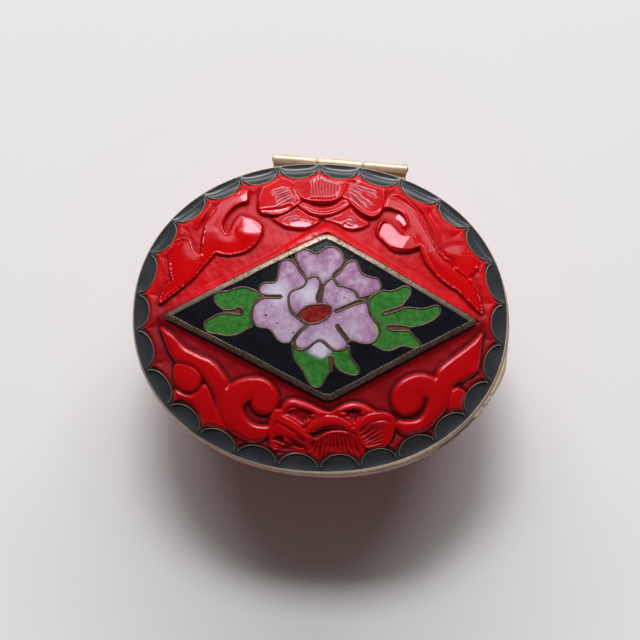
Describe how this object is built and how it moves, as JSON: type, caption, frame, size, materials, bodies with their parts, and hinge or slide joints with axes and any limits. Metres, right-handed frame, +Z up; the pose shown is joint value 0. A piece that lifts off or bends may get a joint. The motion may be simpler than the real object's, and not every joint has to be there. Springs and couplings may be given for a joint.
{
  "type": "hinged oval cloisonne enamel box",
  "caption": "Small oval hinged trinket box: bowl-shaped brass body and domed lid with carved red lacquer, black scalloped enamel borders and a lozenge cloisonne flower plaque.",
  "frame": {"origin": "on the surface the box stands on, at the middle of its length and of its depth with the hinge barrel, 0.6 mm behind the oval foot's centre", "axes": "+Z up, +X along the oval's long axis and the hinge, +Y from the front towards the hinge"},
  "size_m": [0.0561, 0.0484, 0.0269],
  "materials": {
    "brass": "aged, brown-toned brass, satin, worn brighter on edges",
    "red_lacquer": "carved cinnabar-red lacquer, semi-gloss on the raised faces, matte where chiselled",
    "black_enamel": "charcoal-black cloisonne enamel, satin gloss, slightly dished in each scallop",
    "plaque_enamel": "polished black cloisonne enamel ground with pink, white, green and dark red cells"
  },
  "bodies": {
    "body": {"body_shell": "brass", "body_lacquer": "red_lacquer", "body_border": "black_enamel", "body_knuckle_left": "brass", "body_knuckle_right": "brass", "hinge_pin": "brass"},
    "lid": {"lid_shell": "brass", "lid_lacquer": "red_lacquer", "lid_border": "black_enamel", "lid_knuckle": "brass", "thumb_piece": "brass", "plaque_frame": "brass", "plaque_enamel": "plaque_enamel"}
  },
  "joints": [
    {"name": "lid_hinge", "type": "hinge", "parent": "body", "child": "lid", "pos_m": [0.00074, 0.02338, 0.02115], "axis": [-1, 0, 0], "range_deg": [0, 105]}
  ]
}
